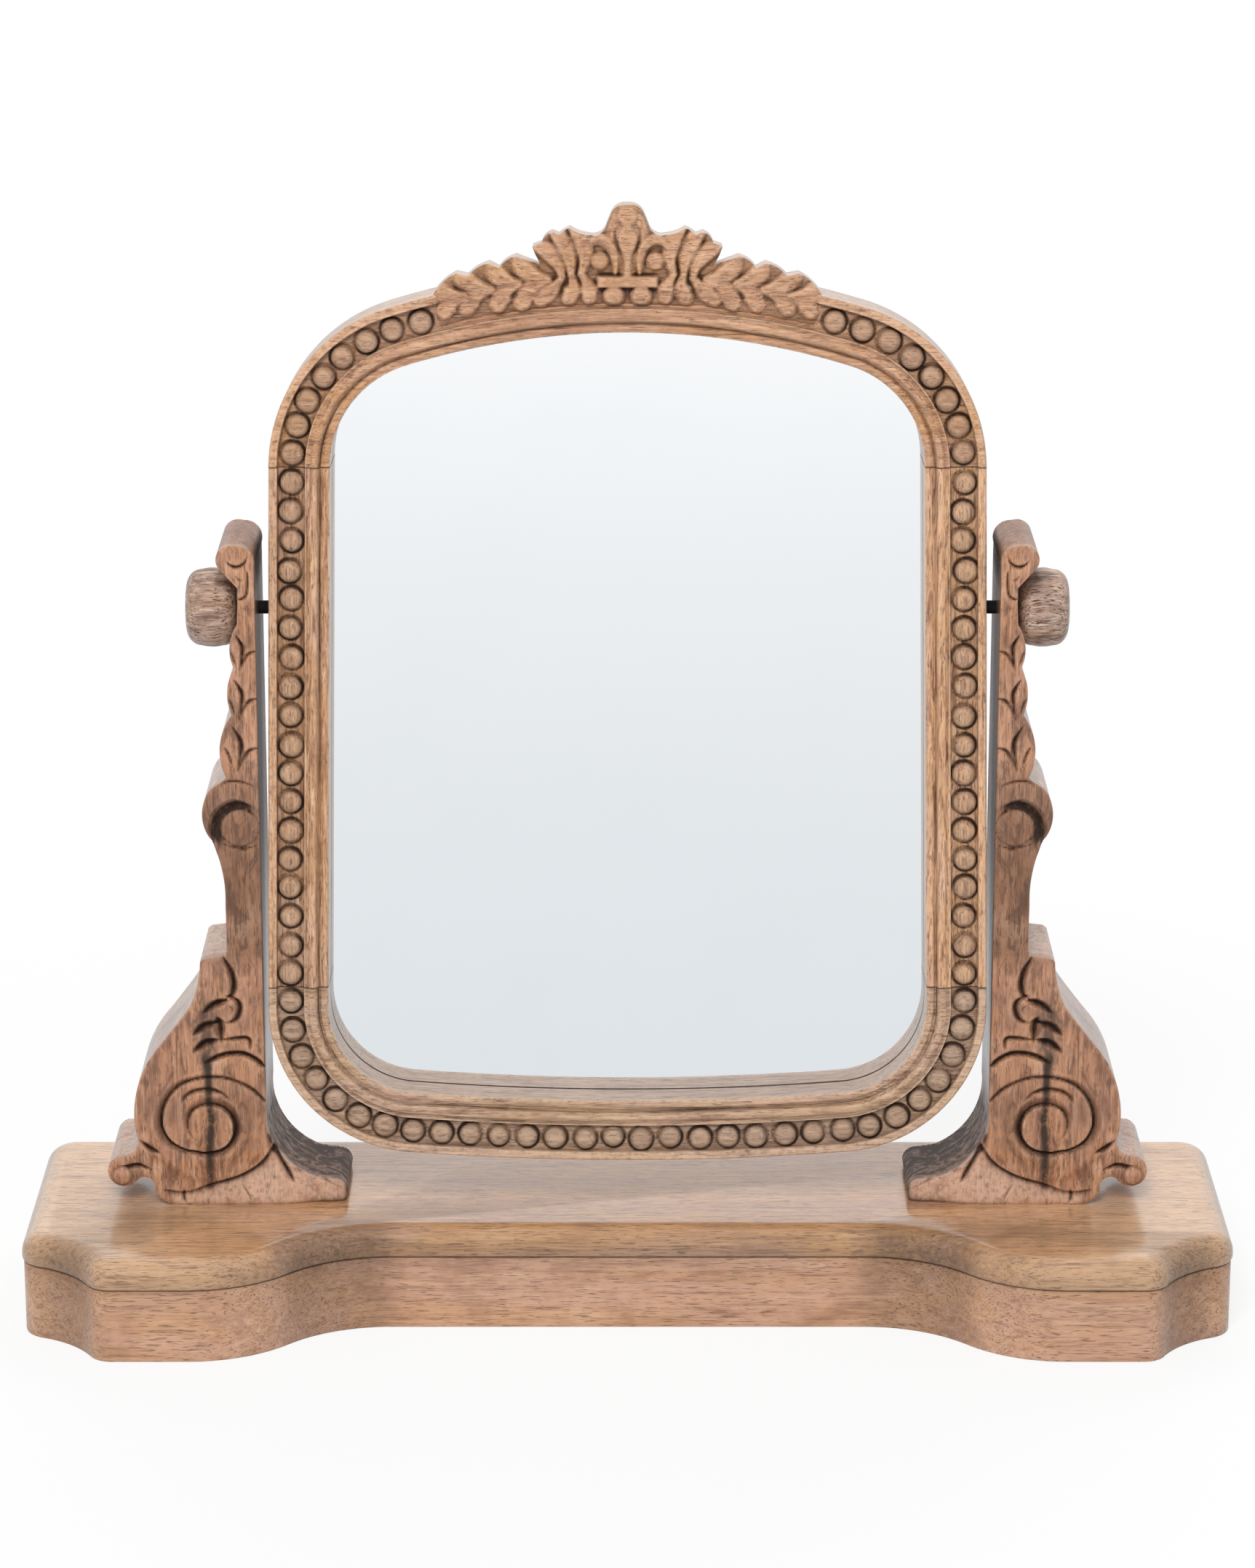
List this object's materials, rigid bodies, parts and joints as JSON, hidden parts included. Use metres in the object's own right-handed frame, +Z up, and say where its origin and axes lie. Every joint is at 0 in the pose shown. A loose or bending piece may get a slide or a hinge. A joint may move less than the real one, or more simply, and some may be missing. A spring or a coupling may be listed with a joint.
{
  "type": "tabletop swing mirror",
  "caption": "Arched mirror in a carved, beaded wooden frame with a leaf crest, swinging between scroll uprights on a moulded base, held by wooden clamp knobs.",
  "frame": {"origin": "on the table, under the middle of the base", "axes": "+Z up, +Y away from the person who looks into the mirror, +X to that person's right"},
  "size_m": [0.55, 0.16, 0.5075],
  "materials": {
    "base_wood": "satin oil, open pores",
    "upright_wood": "satin oil, dark in the cuts",
    "frame_wood": "satin oil, dark in the cuts",
    "knob_wood": "dry, brushed grain",
    "tenon_wood": "bare",
    "mirror": "silvered glass",
    "backing": "pressed fibre board",
    "screw_steel": "zinc plated",
    "insert_brass": "plain brass",
    "bolt_black": "black oxide"
  },
  "bodies": {
    "stand": {"base_top": "base_wood", "plinth_front": "base_wood", "plinth_back": "base_wood", "plinth_end_left": "base_wood", "plinth_end_right": "base_wood", "upright_left": "upright_wood", "upright_right": "upright_wood", "upright_screws": "screw_steel", "foot_tenons": "tenon_wood"},
    "mirror_frame": {"frame_top_rail": "frame_wood", "frame_bottom_rail": "frame_wood", "frame_stile_left": "frame_wood", "frame_stile_right": "frame_wood", "frame_tenons": "tenon_wood", "mirror_glass": "mirror", "backing_board": "backing", "backing_points": "screw_steel", "threaded_insert_left": "insert_brass", "threaded_insert_right": "insert_brass"},
    "left_knob": {"knob_left": "knob_wood", "pivot_bolt_left": "bolt_black"},
    "right_knob": {"knob_right": "knob_wood", "pivot_bolt_right": "bolt_black"}
  },
  "joints": [
    {"name": "mirror_tilt", "type": "hinge", "parent": "stand", "child": "mirror_frame", "pos_m": [0, 0.016, 0.3255], "axis": [1, 0, 0], "continuous": true},
    {"name": "left_knob_turn", "type": "hinge", "parent": "mirror_frame", "child": "left_knob", "pos_m": [0, 0.016, 0.3255], "axis": [-1, 0, 0], "range_deg": [0, 360]},
    {"name": "right_knob_turn", "type": "hinge", "parent": "mirror_frame", "child": "right_knob", "pos_m": [0, 0.016, 0.3255], "axis": [1, 0, 0], "range_deg": [0, 360]}
  ]
}
